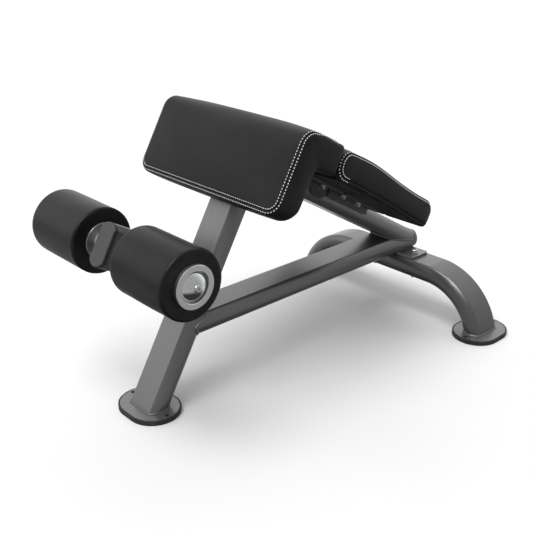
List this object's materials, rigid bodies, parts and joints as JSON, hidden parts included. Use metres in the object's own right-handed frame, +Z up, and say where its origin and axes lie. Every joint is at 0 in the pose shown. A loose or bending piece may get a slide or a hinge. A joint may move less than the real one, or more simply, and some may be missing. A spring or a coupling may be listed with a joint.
{
  "type": "roman chair",
  "caption": "Roman chair bench: a leaning post and sloping top tube on a rear arch leg, with an L-shaped front pad, a sloping rear pad and free-turning foam ankle rollers.",
  "frame": {"origin": "centre of the footprint on the floor, midway between the rollers' front and the rear feet's rear edge", "axes": "+X towards the rear arch leg, +Y to the left as seen from in front of the rollers, +Z up"},
  "size_m": [1.111, 0.7606, 0.6705],
  "materials": {
    "frame_paint": "satin gunmetal metallic powder coat",
    "bracket_paint": "satin black powder coat",
    "rubber": "matt black moulded rubber",
    "black_plastic": "fine-textured black plastic",
    "bush_plastic": "natural nylon",
    "zinc_steel": "bright zinc-plated steel",
    "aluminium": "turned satin aluminium",
    "chrome": "polished chrome",
    "roller_skin": "smooth black foam skin, satin",
    "vinyl": "black fine-grained upholstery vinyl, light grey stitching",
    "plywood": "birch plywood under a black backing cloth"
  },
  "bodies": {
    "frame": {"front_post": "frame_paint", "top_tube": "frame_paint", "floor_rail": "frame_paint", "floor_rail_end_cap": "frame_paint", "roller_arm": "frame_paint", "rear_arch_leg": "frame_paint", "rear_mount_flange": "frame_paint", "front_foot_plate": "frame_paint", "rear_foot_left_plate": "frame_paint", "rear_foot_right_plate": "frame_paint", "axle_boss": "frame_paint", "front_pad_bracket": "bracket_paint", "rear_pad_bracket": "bracket_paint", "front_foot_pad": "rubber", "rear_foot_left_pad": "rubber", "rear_foot_right_pad": "rubber", "roller_arm_end_cap": "black_plastic", "thrust_washers": "bush_plastic", "flange_bolts": "zinc_steel", "flange_washers": "zinc_steel", "flange_nuts": "zinc_steel", "pad_bolts": "zinc_steel", "pad_washers": "zinc_steel", "pad_tee_nuts": "zinc_steel", "post_bolts": "zinc_steel", "roller_axle": "zinc_steel", "axle_bolts": "zinc_steel", "axle_cap_left": "chrome", "axle_cap_right": "chrome", "front_pad_cushion": "vinyl", "rear_pad_cushion": "vinyl", "front_pad_top_board": "plywood", "front_pad_face_board": "plywood", "rear_pad_board": "plywood"},
    "left_roller": {"roller_foam_left": "roller_skin", "roller_core_left": "aluminium", "roller_bushes_left": "bush_plastic", "roller_inner_flange_left": "aluminium", "roller_outer_flange_left": "aluminium"},
    "right_roller": {"roller_foam_right": "roller_skin", "roller_core_right": "aluminium", "roller_bushes_right": "bush_plastic", "roller_inner_flange_right": "aluminium", "roller_outer_flange_right": "aluminium"}
  },
  "joints": [
    {"name": "left_roller_spin", "type": "hinge", "parent": "frame", "child": "left_roller", "pos_m": [-0.47804, 0, 0.42231], "axis": [0, 1, 0], "continuous": true},
    {"name": "right_roller_spin", "type": "hinge", "parent": "frame", "child": "right_roller", "pos_m": [-0.47804, 0, 0.42231], "axis": [0, 1, 0], "continuous": true}
  ]
}
